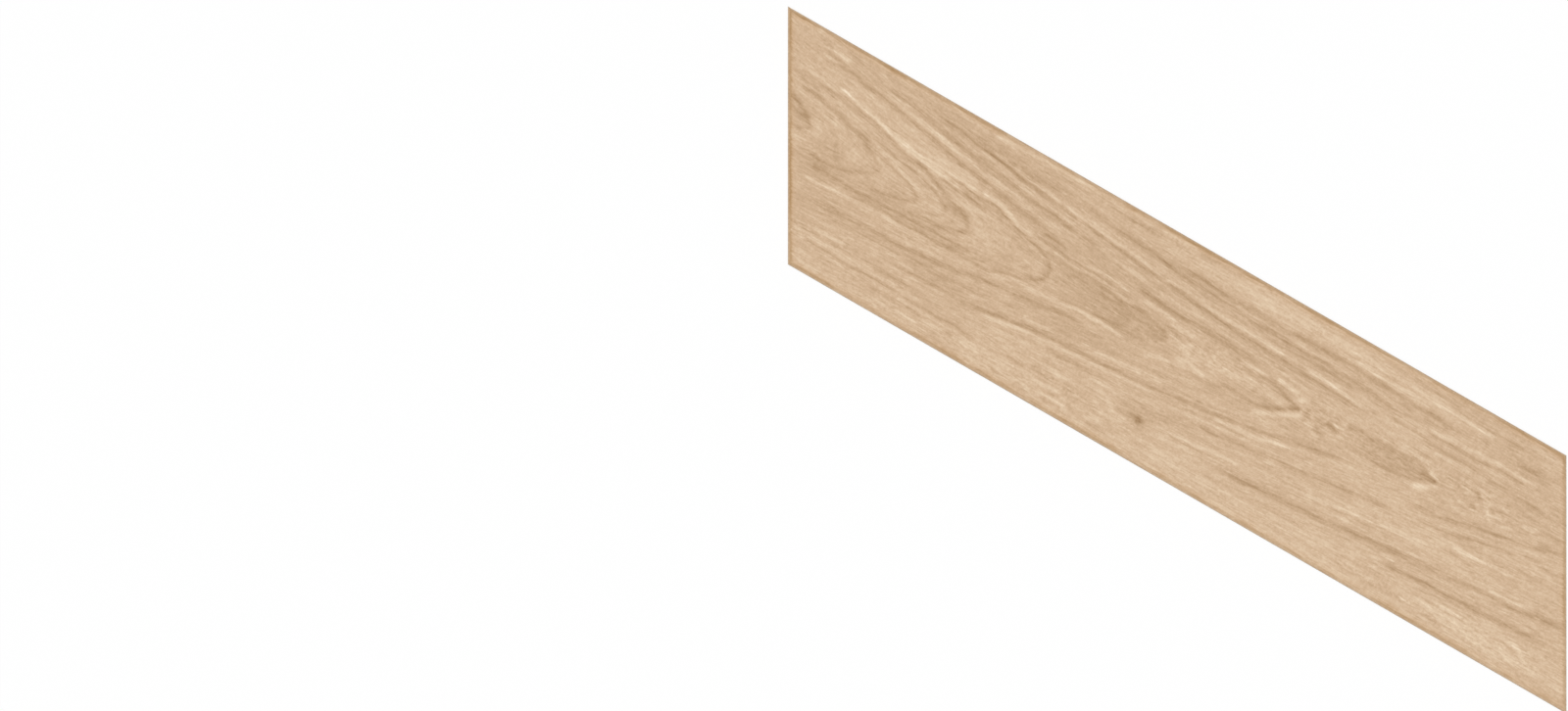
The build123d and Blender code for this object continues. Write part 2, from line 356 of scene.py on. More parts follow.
# %% Light streaks
cream_streaks = [
    # strength in levels, width in mm, points (along, across)
    (24, 0.85, [(38, 19.7), (43, 20.7), (48, 21.8), (53, 23), (58, 24), (62, 24.8), (66, 25.8),
        (70, 27)]),
    (18, 1.2, [(68, 26.4), (75, 28.1), (82, 29.2), (90, 30.4), (100, 31), (112, 31.9)]),
    (14, 1.0, [(74, 26.6), (84, 28), (92, 28.2), (101, 28.5), (109, 29), (117, 29.5)]),
    (18, 0.9, [(116, 28.8), (121, 28.6), (126, 29), (130, 30), (134, 31.6), (139, 33.5), (147, 34.3)]),
    (13, 0.8, [(69, 35.6), (76, 37.3), (83, 39.5), (89, 41.6), (93, 42.2)]),
    (13, 0.8, [(86, 34), (91, 35.3), (96, 36.9), (102, 38.6)]),
    (11, 0.8, [(150, 34.9), (158, 35.7), (166, 36.4), (174, 36.8), (185, 36.4), (191, 37.2), (197, 38.1),
        (202, 38.4)]),
    (11, 0.8, [(112, 10.6), (122, 11.4), (132, 12.9), (142, 14.2), (152, 15.4)]),
    (14, 0.9, [(152, 15.4), (160, 16.4), (168, 17.1), (175, 17.9), (181, 18.2), (188, 18)]),
    (12, 0.8, [(203, 20.8), (208, 21.3), (214, 21.6)]),
    (15, 1.0, [(228, 22.5), (236, 23.3), (244, 23.4), (252, 23.4), (260, 23.8), (272, 24)]),
    (22, 0.95, [(282, 24.8), (288, 25), (294, 25.4), (300, 26.2), (306, 26.8), (313, 27)]),
    (9, 0.9, [(182, 25), (192, 25.8), (202, 26.8)]),
    (12, 0.9, [(208, 28), (218, 28.4), (231, 28.8)]),
    (11, 0.8, [(203, 34), (212, 34.4), (222, 35.6)]),
    (8, 0.8, [(241, 16.2), (246, 16.3), (251, 16.5)]),
    (10, 0.9, [(324, 19.2), (327, 19.8), (331, 20.1)]),
    (14, 1.1, [(342, 20.4), (349, 20.1), (356, 19.2), (363, 18.8), (372, 18.6), (381, 18.8), (390, 19),
        (400, 18.6)]),
    (7, 0.8, [(350, 28.6), (358, 27.9), (367, 28.2), (377, 28.6)]),
    (10, 0.9, [(299, 10.4), (308, 11), (318, 11.5), (328, 11.8), (339, 12)]),
    (13, 0.9, [(108, 3.6), (116, 3.1), (130, 2.6), (146, 2.7), (162, 2.6)]),
    (13, 0.9, [(249, 43.4), (257, 42.9), (262, 41.6), (267, 41.2)]),
    (9, 0.8, [(262, 43.2), (269, 43.6), (277, 43.2)]),
    (18, 0.9, [(273, 34.9), (280, 35.8), (285.4, 36.6)]),
    (18, 1.2, [(269, 54.4), (275, 51.6), (280, 49.5), (284, 47.4), (287.4, 45.2), (291.4, 43)]),
    (12, 1.0, [(221, 41.4), (226, 42.2), (234, 42.6)]),
    (9, 0.9, [(218, 37), (226, 37.8), (232, 38.2)]),
    (14, 1.1, [(228, 50.2), (232, 49.2), (236, 48.6), (239, 49.4), (245, 50.2)]),
    (9, 1.0, [(216, 56.4), (219, 54.2), (223, 53.2), (229, 53.2)]),
    (17, 0.9, [(136, 59.8), (142, 57.7), (147, 56.2), (152, 55.2), (160, 54.9), (168, 54.1), (179, 52.9),
        (188, 53.1), (198, 53.2), (206, 53.6)]),
    (15, 0.9, [(43, 62.2), (52, 61.8), (60, 61), (70, 60.4), (82, 60), (92, 60)]),
    (17, 0.9, [(140, 77.2), (150, 75.8), (158, 74.3), (166, 73.3), (177, 72.4), (186, 71.8), (196, 70.8),
        (205, 69.9), (214, 69.4), (224, 69.4), (233, 69.6)]),
    (15, 0.9, [(256, 64), (264, 63.8), (270, 63), (277, 62.8), (286, 60.6), (297, 58.4)]),
    (16, 0.9, [(308, 74.2), (317, 72.7), (326, 71.4), (336, 70.3), (346, 69), (358, 67.5), (370, 66)]),
    (11, 0.8, [(235, 85), (242, 83.8), (249, 82.8), (258, 82.2)]),
    (14, 0.9, [(59, 79.8), (66, 79.9), (76, 79.9)]),
    (11, 0.8, [(57, 84.6), (68, 84.5), (78, 84.4), (88, 84.3), (98, 84.6), (107, 84.4)]),
    (12, 0.8, [(93, 78.5), (103, 78.2), (114, 77.4), (126, 76.9)]),
    (13, 1.0, [(378, 61.6), (384, 61.1), (390, 60.9), (396, 60.2)]),
    (9, 0.9, [(352, 80.2), (356, 80), (359, 79.7)]),
    (13, 1.0, [(402, 70), (410, 69.6), (417, 69), (425, 66.4)]),
    (12, 0.9, [(205, 80.2), (211, 80.8), (215, 83.4), (219, 85), (225, 85.2)]),
    (8, 0.8, [(206, 84.4), (214, 86.5), (223, 87)]),
    (12, 0.8, [(179, 82.6), (186, 82.2), (198, 82.5)]),
    (17, 0.8, [(182, 93.8), (189, 93), (199, 93.5)]),
    (11, 0.8, [(206, 92.2), (210, 92), (214, 91.8)]),
    (10, 0.8, [(237, 91), (244, 90.4), (252, 90.8)]),
    (26, 1.0, [(352.8, 37.2), (355, 37.9), (357.8, 38.4)]),
    (20, 1.1, [(348.6, 46.4), (353, 44.9), (356, 43.4), (359.8, 41.9)]),
    (13, 1.0, [(386, 40.4), (389, 39.8), (392, 38.8)]),
    (10, 1.1, [(374.6, 31.4), (379.5, 32.4), (385.4, 32)]),
    (9, 1.2, [(383.6, 34.6), (383.8, 38.4), (385, 40.8), (387.4, 43)]),
    (7, 1.0, [(369, 45.6), (373, 45.9), (377, 46)]),
    (8, 1.0, [(401, 37), (404, 37.4), (408, 37.6)]),
    (10, 1.4, [(57, 11.4), (66, 12.7), (74, 14.4), (82, 15.8), (90, 17.2), (100, 18.6), (110, 19.4)]),
    (10, 1.3, [(114, 20.4), (121, 21.4), (128, 22.1), (137, 23.6)]),
    (9, 1.2, [(94, 12.2), (104, 13.4), (112, 14.2), (120, 15.4), (130, 17), (136, 18), (144, 19),
        (153, 19.8), (162, 20.8)]),
    (10, 1.0, [(90, 25.8), (98, 25.2), (106, 25.2), (114, 25.8)]),
    (9, 1.2, [(147, 25.8), (156, 26.6), (165, 27.6)]),
    (9, 0.9, [(172, 4.2), (188, 3.5), (203, 2.9), (217, 2.6)]),
    (9, 0.9, [(186, 18.4), (196, 19.7), (206, 21)]),
    (10, 0.9, [(172, 33.9), (182, 33.3), (190, 33.6), (197, 34.8)]),
    (13, 0.9, [(255, 36.5), (262, 36.2), (270, 36.5)]),
    (7, 1.0, [(162, 22.6), (170, 23), (179, 23.7)]),
    (13, 0.9, [(233, 81), (240, 80), (250, 79.4), (258, 78.8), (268, 77.6), (279, 76.6)]),
    (12, 1.0, [(188, 66.2), (196, 65.4), (204, 64.3), (212, 63.4), (222, 63.2), (231, 61.8)]),
    (8, 1.1, [(60, 67.2), (72, 66.9), (86, 66.3), (97, 65.8), (107, 64.6), (117, 63.6)]),
    (8, 1.0, [(128, 72), (137, 71), (148, 69.4), (158, 68.7), (167, 67.4), (178, 66.4)]),
    (10, 0.8, [(99, 74.3), (103, 74.1), (108, 74.4)]),
    (9, 0.9, [(67, 88.5), (74, 88.8), (81, 88.5)]),
    (12, 0.8, [(107, 88.6), (114, 88.4), (121, 88.6)]),
    (15, 0.8, [(120, 91.8), (127, 91.5), (133, 91.4)]),
    (14, 0.8, [(141, 91.6), (146, 91.3), (151, 91.6)]),
    (17, 0.8, [(109, 94), (114, 94.3), (120, 94)]),
    (10, 0.8, [(60, 96), (65, 96.3), (71, 96.2)]),
    (9, 0.8, [(96, 96), (101, 95.6), (105, 95.2)]),
    (12, 0.8, [(160, 93.7), (170, 93.9), (180, 94.4)]),
    (13, 0.8, [(144, 95.4), (149, 95.6), (154, 96)]),
    (9, 0.8, [(179, 89.2), (184, 89.4), (189, 89.4)]),
    (8, 0.8, [(164, 84.6), (168, 84.4), (172, 84.6)]),
    (13, 0.9, [(27, 6.8), (32, 7.2), (37, 7.9)]),
    (7, 0.8, [(24, 10.2), (28, 10.5), (32, 11.3)]),
    (9, 0.8, [(23, 19.9), (29, 20.6), (35, 21.5)]),
    (11, 0.8, [(68.2, 38.6), (70.4, 39.6), (72.8, 40.8)]),
    (9, 0.8, [(42, 33), (47, 34.2), (52, 36)]),
    (12, 0.9, [(391, 55.2), (397, 54.6), (403, 54.4)]),
    (9, 0.9, [(403, 53.5), (410, 53), (418, 52.8)]),
    (8, 1.0, [(403, 47.2), (410, 45.8), (418, 44.4)]),
    (14, 0.8, [(304.4, 39.8), (306.2, 40.2), (308.2, 40.8)]),
    (10, 0.9, [(293.4, 45.8), (295.4, 45.4), (297.2, 45.8)]),
    (8, 0.9, [(297.6, 48.2), (300, 48.5), (302.4, 48.6)]),
    (13, 1.2, [(286.4, 38.8), (288.4, 36.8), (290.8, 35.4)]),
    (9, 1.2, [(370.2, 42), (372.6, 41.8), (374.8, 42.4)]),
    (8, 0.8, [(239, 97), (243, 97.1), (248, 97.2)]),
    (8, 0.9, [(271, 16.8), (282, 17), (292, 17), (302, 17.5)]),
    (9, 1.0, [(337, 9), (348, 8.8), (360, 8.8), (371, 9)]),
    (8, 0.9, [(334, 34.4), (342, 34), (351, 33.8)]),
    (8, 0.9, [(287, 69.3), (292, 69), (298, 69.4)]),
    (9, 0.9, [(324, 75), (328, 74.8), (333, 74.8)]),
    (8, 0.9, [(276, 79.6), (281, 79.3), (287, 79.6)]),
    (9, 0.8, [(312, 54.6), (319, 53.6), (328, 52.4)]),
    (8, 0.8, [(360, 59.2), (366, 58.9), (373, 58.6)]),
    (9, 0.9, [(396, 60.4), (403, 59.8), (410, 58.8)]),
    (10, 1.0, [(373, 88.7), (382, 89.4), (392, 89.8), (403, 89.4)]),
    (12, 0.9, [(419, 86), (424, 85.8), (429, 85.9)]),
    (10, 0.9, [(387, 86.7), (392, 86.5), (397, 86.6)]),
]
print(f"{len(cream_streaks)} light streaks")

# %% [markdown]
# Straight lines between the points would look like wire. A Catmull-Rom curve passes through every point
# and needs no handles, so each vein is turned into a dense chain with it.

# %% Smooth chains
chain_steps = 8


def smooth_chain(points):
    """A dense chain of points on the Catmull-Rom curve through the given ones."""
    drawn = np.array(points, dtype=float)
    drawn = np.vstack([2 * drawn[0] - drawn[1], drawn, 2 * drawn[-1] - drawn[-2]])
    t = np.linspace(0, 1, chain_steps, endpoint=False)[:, None]
    chain = []
    for a, b, c, d in zip(drawn[:-3], drawn[1:-2], drawn[2:-1], drawn[3:]):
        square = a - 2.5 * b + 2 * c - d / 2
        cube = 1.5 * (b - c) + (d - a) / 2
        chain.append(b + (c - a) / 2 * t + square * t**2 + cube * t**3)
    chain.append(drawn[-2:-1])
    return np.vstack(chain)


dark_veins = upper_veins + lower_veins + arches
strokes = dark_veins + short_marks + cream_streaks
longest = max(len(smooth_chain(stroke[-1])) for stroke in strokes)
print(f"{len(strokes)} strokes, the longest a chain of {longest} points")

# %% [markdown]
# ## Combing the fibres
#
# Fine fibres run beside the veins. Instead of drawing them, the slopes of the drawn veins are spread over
# the face like iron filings. Steep stretches, at the tips of the arches, are left out: rings bend there,
# fibres don't.

# %% Slopes spread over the face
grid_start = (-12.0, -5.0)
comb_step = (6.0, 2.5)
comb_reach = (40.0, 8.0)
steepest_fibre = 0.3
straight_pull = 0.6


def new_grid(step):
    """Along and across at the places of a grid over the face, with the given steps in mm."""
    along = np.arange(grid_start[0], long_edge + board_width * lean - grid_start[0], step[0])
    across = np.arange(grid_start[1], board_width - grid_start[1], step[1])
    return np.meshgrid(along, across, indexing="ij")


def read_grid(grid, step, along, across):
    """Values of a grid, read between its places."""
    a = np.clip((along - grid_start[0]) / step[0], 0, grid.shape[0] - 1.001)
    c = np.clip((across - grid_start[1]) / step[1], 0, grid.shape[1] - 1.001)
    i = a.astype(int)
    j = c.astype(int)
    a -= i
    c -= j
    near = grid[i, j] * (1 - c) + grid[i, j + 1] * c
    far = grid[i + 1, j] * (1 - c) + grid[i + 1, j + 1] * c
    return near * (1 - a) + far * a


comb_along, comb_across = new_grid(comb_step)
slope_sum = np.zeros_like(comb_along)
weight_sum = np.full_like(comb_along, straight_pull)
for stroke in strokes:
    chain = smooth_chain(stroke[-1])
    step = np.diff(chain, axis=0)
    run = np.maximum(np.abs(step[:, 0]), 1e-6)
    slope = step[:, 1] / np.copysign(run, step[:, 0])
    for place, rise, length in zip(chain[:-1], slope, run):
        if abs(rise) < steepest_fibre:
            away = ((comb_along - place[0]) / comb_reach[0]) ** 2
            away += ((comb_across - place[1]) / comb_reach[1]) ** 2
            weight = length / comb_step[0] * np.exp(-away)
            slope_sum += weight * rise
            weight_sum += weight
comb_slope = slope_sum / weight_sum
print(f"fibres slope between {comb_slope.min():.2f} and {comb_slope.max():.2f}")

# %% [markdown]
# Each point is then followed along that flow to a station, a line across the board, and the height at
# which it arrives is its lane: points on one fibre share one lane, and noise made from lanes looks
# combed. One station for the whole board would squeeze the lanes where veins draw together. So there are
# stations every 160 mm in two families, half a step apart, and each family fades out where its points
# change station.

# %% Follow each point to its stations
station_step = 160.0
station_gap = 1000.0
comb_walks = 16


def lanes_to(station, along, across):
    """Height in mm at which the fibre through each point crosses the line at station."""
    stride = (station - along) / comb_walks
    place = along.copy()
    lane = across.copy()
    for walk in range(comb_walks):
        halfway = lane + read_grid(comb_slope, comb_step, place, lane) * stride / 2
        lane = lane + read_grid(comb_slope, comb_step, place + stride / 2, halfway) * stride
        place = place + stride
    return lane


def family(along, across, shift):
    """Lanes of one family of stations, and its share of the blend before scaling."""
    number = np.round(along / station_step - shift)
    station = (number + shift) * station_step
    lane = lanes_to(station, along, across) + station_gap * (number + 1)
    return lane, 0.5 + 0.5 * np.cos(2 * math.pi * (along - station) / station_step)


# %% All the points of the slab, and their lanes
outlines = [centre + outline for centre in np.array(cell_centres) for outline in (cell_rim, cell_floor)]
back_along, back_across = np.concatenate(outlines).T
cell_heights = np.concatenate([np.zeros(len(cell_rim)), np.full(len(cell_floor), key_depth)])
back_height = np.tile(cell_heights, len(cell_centres))
along = np.concatenate([net_along.ravel(), *ring_along, back_along])
across = np.concatenate([net_across.ravel(), *ring_across, back_across])
height = np.concatenate([np.full(net_along.size, thickness), *ring_height, back_height])
on_face = np.arange(len(along)) < net_along.size
even_lane, even_share = family(along, across, 0.0)
odd_lane, odd_share = family(along, across, 0.5)
share_scale = np.hypot(even_share, odd_share)
even_share /= share_scale
odd_share /= share_scale
print(f"{len(along)} points in all")

# %% [markdown]
# ## Streaks between the veins
#
# Between the veins the wood is never even. Each row of a lattice gets its own run of random levels,
# shifted by a random start so that no two rows begin together, and rows are blended across. Stretched
# along the fibres this gives streaks of any length and width, from a fixed seed, so that every run draws
# the same board.

# %% Streaky noise
noise_rows = 509
noise_levels = 211


def eased(t):
    """Smooth step from 0 to 1."""
    return t * t * (3 - 2 * t)


def lattice(spot, lane, seed):
    """Blended random levels between -1 and 1. Steps of 1 along and across are one cell."""
    draws = np.random.default_rng(seed)
    levels = draws.uniform(-1, 1, (noise_rows, noise_levels))
    starts = draws.uniform(0, noise_levels, noise_rows)
    first = np.floor(lane).astype(int)
    share = eased(lane - first)
    total = np.zeros_like(lane)
    for extra, weight in ((0, 1 - share), (1, share)):
        row = (first + extra) % noise_rows
        place = spot + starts[row]
        cell = np.floor(place).astype(int)
        blend = eased(place - cell)
        near = levels[row, cell % noise_levels]
        far = levels[row, (cell + 1) % noise_levels]
        total += weight * (near * (1 - blend) + far * blend)
    return total


def streaks(length, width, seed):
    """Noise between about -1 and 1 at every point, drawn out along the fibres. Sizes in mm."""
    even = lattice(along / length, even_lane / width, seed)
    odd = lattice(along / length, odd_lane / width, seed)
    return even_share * even + odd_share * odd


wide_streaks = streaks(90, 8.0, 11)
middle_streaks = streaks(60, 3.6, 12)
thin_streaks = streaks(26, 1.7, 13)
print(f"streaks between {thin_streaks.min():.2f} and {thin_streaks.max():.2f}")

# %% [markdown]
# ## Growth rings between the drawn veins
#
# The drawn veins are the strongest of many growth rings. To find the others, the ring numbers are spread
# over the face by relaxation: the drawn places keep their number, and every other place takes the mean of
# its neighbours, again and again. Neighbours along the board count for more, because rings are drawn out
# that way. Places of equal number then lie on rings that nest between the drawn ones.

# %% Relax the ring numbers
growth_step = (3.0, 1.0)
growth_pull = (0.36, 0.14)
edge_rings = (99, 101)
relax_rounds = 900
smooth_rounds = 3
growth_along, growth_across = new_grid(growth_step)
number_sum = np.zeros_like(growth_along)
number_count = np.zeros_like(growth_along)
number_sum[:, 4] = edge_rings[0]
number_sum[:, -5] = edge_rings[1]
number_count[:, [4, -5]] = 1
for ring, *_, points in dark_veins:
    chain = smooth_chain(points)
    travelled = np.concatenate([[0], np.cumsum(np.hypot(*np.diff(chain, axis=0).T))])
    even = np.arange(0, travelled[-1], 0.5)
    i = np.round((np.interp(even, travelled, chain[:, 0]) - grid_start[0]) / growth_step[0]).astype(int)
    j = np.round((np.interp(even, travelled, chain[:, 1]) - grid_start[1]) / growth_step[1]).astype(int)
    number_sum[i, j] += ring
    number_count[i, j] += 1
drawn = number_count > 0
drawn_number = number_sum / np.maximum(number_count, 1)
growth = np.where(drawn, drawn_number, drawn_number[drawn].mean())
for sweep in range(relax_rounds):
    padded = np.pad(growth, 1, mode="edge")
    beside = padded[:-2, 1:-1] + padded[2:, 1:-1]
    above = padded[1:-1, :-2] + padded[1:-1, 2:]
    growth = np.where(drawn, drawn_number, growth_pull[0] * beside + growth_pull[1] * above)
for sweep in range(smooth_rounds):
    padded = np.pad(growth, 1, mode="edge")
    growth = 0.5 * growth + 0.25 * (padded[1:-1, :-2] + padded[1:-1, 2:])
print(f"rings {growth.min():.0f} to {growth.max():.0f}, {drawn.mean():.0%} of the places drawn")

# %% [markdown]
# Where rings crowd together, noise made from their numbers would get finer, and where they part, broader.
# Wood does neither: its lines keep about one width. So each point blends the two nearest of several
# scales, a power of two apart, by how steeply the number changes there.

# %% Lines of one width that follow the rings
growth_slope = np.hypot(*np.gradient(growth, *growth_step))
ring_number = read_grid(growth, growth_step, along, across)
ring_steepness = np.maximum(read_grid(growth_slope, growth_step, along, across), 0.05)


def ring_lines(width, length, seed):
    """Noise between about -1 and 1, in lines of one width along the growth rings. Sizes in mm."""
    scale = np.log2(width * ring_steepness)
    lower_scale = np.floor(scale)
    share = scale - lower_scale
    blend = np.hypot(share, 1 - share)
    fine = lattice(along / length, ring_number / 2**lower_scale + 50 * lower_scale + 400, seed)
    coarse = lattice(along / length, ring_number / 2 ** (lower_scale + 1) + 50 * lower_scale + 450, seed)
    return ((1 - share) * fine + share * coarse) / blend


thin_rings = ring_lines(1.3, 60, 41)
middle_rings = ring_lines(2.8, 90, 42)
wide_rings = ring_lines(6.0, 140, 43)
print(f"ring lines between {thin_rings.min():.2f} and {thin_rings.max():.2f}")

# %% [markdown]
# ## Stamping the veins into the print
#
# Every vein now has to darken or lighten the points near it. For each point the nearest link of the chain
# gives a distance, a side and a place along the vein. The line itself fades like a brush stroke at both
# ends, and the shading falls off slowly on one side only. All tones are in levels of an 8-bit picture, as
# a printer would say.

# %% Stamp the veins
brush_ends = 0.08
wander = 0.35
shade_share = 0.5
dark_gain = 1.16
cream_gain = 1.08
shiver = 0.12
print_across = across + wander * streaks(22, 9.0, 21) + shiver * streaks(8, 5.0, 23)


def stamp(strength, width, points, shade=0.0):
    """Tone, in levels, that one stroke gives to every point of the slab."""
    chain = smooth_chain(points)
    reach = max(3 * width, 3 * shade)
    near = np.flatnonzero(
        (along > chain[:, 0].min() - reach)
        & (along < chain[:, 0].max() + reach)
        & (print_across > chain[:, 1].min() - reach)
        & (print_across < chain[:, 1].max() + reach)
        & (height > thickness / 2)
    )
    link = np.diff(chain, axis=0)
    a = along[near, None] - chain[:-1, 0]
    c = print_across[near, None] - chain[:-1, 1]
    t = np.clip((a * link[:, 0] + c * link[:, 1]) / (link**2).sum(1), 0, 1)
    a -= t * link[:, 0]
    c -= t * link[:, 1]
    gap = a * a + c * c
    best = gap.argmin(1)
    point = np.arange(len(near))
    gap = np.sqrt(gap[point, best])
    inner = link[best, 0] * c[point, best] - link[best, 1] * a[point, best] > 0
    place = (best + t[point, best]) / len(link)
    fade = eased(np.clip(np.minimum(place, 1 - place) / brush_ends, 0, 1))
    tone = np.exp(-((gap / width) ** 2))
    if shade:
        tone = np.maximum(tone, shade_share * np.exp(-gap / shade) * inner)
    stamped = np.zeros_like(along)
    stamped[near] = strength * fade * tone
    return stamped


patchy = 1.05 + 0.26 * streaks(30, 3.0, 22) + 0.1 * streaks(9, 2.2, 24)
dark = sum(stamp(strength, width, points, shade) for _, strength, width, shade, points in dark_veins)
dark += sum(stamp(*mark) for mark in short_marks)
dark *= dark_gain * patchy
cream = cream_gain * patchy * sum(stamp(*streak) for streak in cream_streaks)
print(f"darkest vein {dark.max():.0f} levels, lightest streak {cream.max():.0f} levels")

# %% [markdown]
# ## Clouds, the pin knot and flecks
#
# The rest of the figure is soft: areas where the print is a little lighter or darker, one pin knot with
# the wood swirling round it, and places by the tips of the arches where pores are cut across and look
# like flecks.

# %% Clouds, knot and flecks
clouds = [
    # levels, (along, across), (half length, half width)
    (-8, (29, 38.6), (6.5, 3.4)),
    (-13, (31.2, 38.4), (3.2, 2.4)),
    (-5, (63.5, 38.5), (5, 2.2)),
    (-5, (86, 46.5), (8, 4.5)),
    (-6, (110, 41.2), (7, 2)),
    (-10, (112, 41.6), (5.5, 2.3)),
    (10, (103.4, 46.4), (5, 2.2)),
    (8, (114.6, 46.2), (1.9, 2.2)),
    (5, (126, 47), (5, 4)),
    (10, (116, 38), (7, 2)),
    (-10, (191, 45.3), (29, 7)),
    (-4, (214, 44), (6, 3)),
    (-9, (218, 43.6), (3.5, 2.6)),
    (6, (240, 45.5), (13, 5)),
    (7, (288, 38.4), (5, 2.2)),
    (-8, (279.5, 39.6), (4.5, 1.8)),
    (-13, (335, 40.6), (20, 5)),
    (-7, (350, 40.2), (5, 3)),
    (-5, (302, 53.6), (13, 3)),
    (-5, (176, 60), (38, 5)),
    (-4, (105, 69.6), (28, 4)),
    (-5, (46, 55), (10, 4)),
    (-5, (241, 32.6), (15, 2.2)),
    (-7, (394, 14.6), (11, 4)),
    (-4, (88, 6), (16, 4)),
    (-4, (118, 8), (16, 3.4)),
    (-3, (170, 17), (80, 7)),
    (-3, (285, 17), (50, 5)),
    (10, (268, 7.4), (50, 4.2)),
    (6, (212, 8), (12, 3.4)),
    (7, (414, 90.5), (42, 7)),
    (-2, (356, 90), (14, 7)),
    (5, (60, 18.6), (36, 4.4)),
    (6, (33, 7.4), (9, 2.4)),
    (4, (230, 92), (160, 8)),
    (-9, (177, 30), (42, 6.5)),
    (-6, (54, 63), (24, 14)),
    (-6, (86, 90), (32, 8)),
    (4, (154, 88), (22, 8)),
    (-4, (232, 89), (18, 6)),
    (-4, (138, 9), (34, 5)),
    (-4, (226, 12), (20, 4)),
    (5, (342, 9), (20, 4)),
    (-5, (386, 9), (18, 6)),
    (-6, (112, 10), (34, 7)),
    (-6, (50, 50), (14, 8)),
    (-4, (289, 50), (18, 6)),
    (-3, (292, 90), (20, 7)),
    (4, (337, 30), (20, 5)),
    (8, (382, 68), (30, 8)),
    (-5, (234, 75), (13, 4)),
]
knot = (228.5, 82.2)
knot_size = (2.2, 1.7)
knot_side = (224.6, 81.4)
knot_reach = (9.0, 4.5)
fleck_areas = [
    # share, (along, across), (half length, half width)
    (1.0, (382, 37), (22, 8)),
    (1.0, (238, 41), (16, 6)),
    (1.0, (298, 40), (14, 6)),
    (1.0, (414, 90), (40, 7)),
    (0.5, (140, 93), (80, 7)),
    (0.4, (262, 40), (16, 6)),
    (1.0, (330, 40.6), (22, 5.5)),
]


def soft_spot(centre, size):
    """1 round the centre, falling to 0 past the given half sizes."""
    away = ((along - centre[0]) / size[0]) ** 2 + ((print_across - centre[1]) / size[1]) ** 2
    return np.exp(-(away**1.4))


cloud = sum(level * soft_spot(centre, size) for level, centre, size in clouds)
knot_core = soft_spot(knot, knot_size)
fleck = np.clip(sum(share * soft_spot(*place) for share, *place in fleck_areas), 0, 1)
figure = cloud - 44 * knot_core - 12 * soft_spot(knot_side, knot_size) - 6 * soft_spot(knot, knot_reach)
figure += 4.6 * thin_rings + 1.6 * middle_rings + 1.6 * wide_rings
figure += 2.0 * wide_streaks + 1.0 * middle_streaks + 1.0 * thin_streaks
print(f"figure between {figure.min():.0f} and {figure.max():.0f} levels")

# %% [markdown]
# Painted shade: the print is darkened brown along the rim, where the ground arris would be shaded.
# It is painted unevenly, and weaker in a few places.

# %% Painted shade along the rim
weak_shade_places = [
    # share of the painted rim shade taken off, (along, across), (half length, half width)
    (0.32, (165, 0), (60, 10)),
    (0.4, (260, 100), (220, 10)),
    (0.3, (431, 50), (36, 70)),
]
# How strong the painted rim shade is at each point: uneven along the edge, weaker at the listed places.
painted_rim_shade = 0.9 + 0.36 * streaks(9, 20.0, 51) - sum(share * soft_spot(*place) for share, *place in weak_shade_places)
painted_rim_shade = np.clip(painted_rim_shade, 0, 1.3)
print(f"rim shaded between {painted_rim_shade.min():.2f} and {painted_rim_shade.max():.2f}")

# %% [markdown]
# ## Embossing
#
# Better tiles are embossed in register: the press sinks where the print is dark. The relief is real
# geometry, but only a few tenths of a millimetre deep. It goes down from the part's own top, so that the
# tile grows nowhere, and it fades out before the arris, as the die's edge does.

# %% Sink the relief
vein_depth = 0.16
deepest_level = 15
fibre_depth = 0.10
knot_depth = 0.15
relief_margin = (1.0, 4.0)
edge_distance = np.minimum(across, board_width - across)
end_distance = np.minimum(along - across * lean, long_edge - along + across * lean) * end_sine
rim_distance = np.minimum(edge_distance, end_distance)
inside = (rim_distance - relief_margin[0]) / (relief_margin[1] - relief_margin[0])
emboss = vein_depth * np.clip(dark / deepest_level, 0, 1) + knot_depth * knot_core
emboss += fibre_depth * (0.5 - 0.25 * thin_streaks - 0.25 * streaks(9, 1.0, 31))
emboss = np.maximum(emboss, 0) * eased(np.clip(inside, 0, 1))
height = np.where(on_face, height - emboss, height)
print(f"relief up to {emboss[on_face].max():.2f} mm deep")

# %% [markdown]
# ## Joining the net into one closed mesh
#
# The face is quads between neighbours, and each pair of rings is joined by a band of quads. The back has
# holes in it, so Blender's own fill closes the area between the outline and the cells' rims. Every face
# gets one of three finishes: the printed glaze, the cut edge, or the pressed back.

# %% Faces of the face, the arris and the edges
PRINT, EDGE, BACK = range(3)
net_corners = [net_index[:-1, :-1], net_index[:-1, 1:], net_index[1:, 1:], net_index[1:, :-1]]
faces = np.stack(net_corners, -1).reshape(-1, 4).tolist()
finishes = [PRINT] * len(faces)
upper = rim_index
ring_start = net_along.size
for ring in range(len(edge_section)):
    lower = np.arange(ring_start, ring_start + rim_count)
    band = np.stack([upper, np.roll(upper, -1), np.roll(lower, -1), lower], -1)
    faces += band.tolist()
    finishes += [PRINT if ring < arris_rings else EDGE] * rim_count
    upper = lower
    ring_start += rim_count
print(f"{len(faces)} quads")

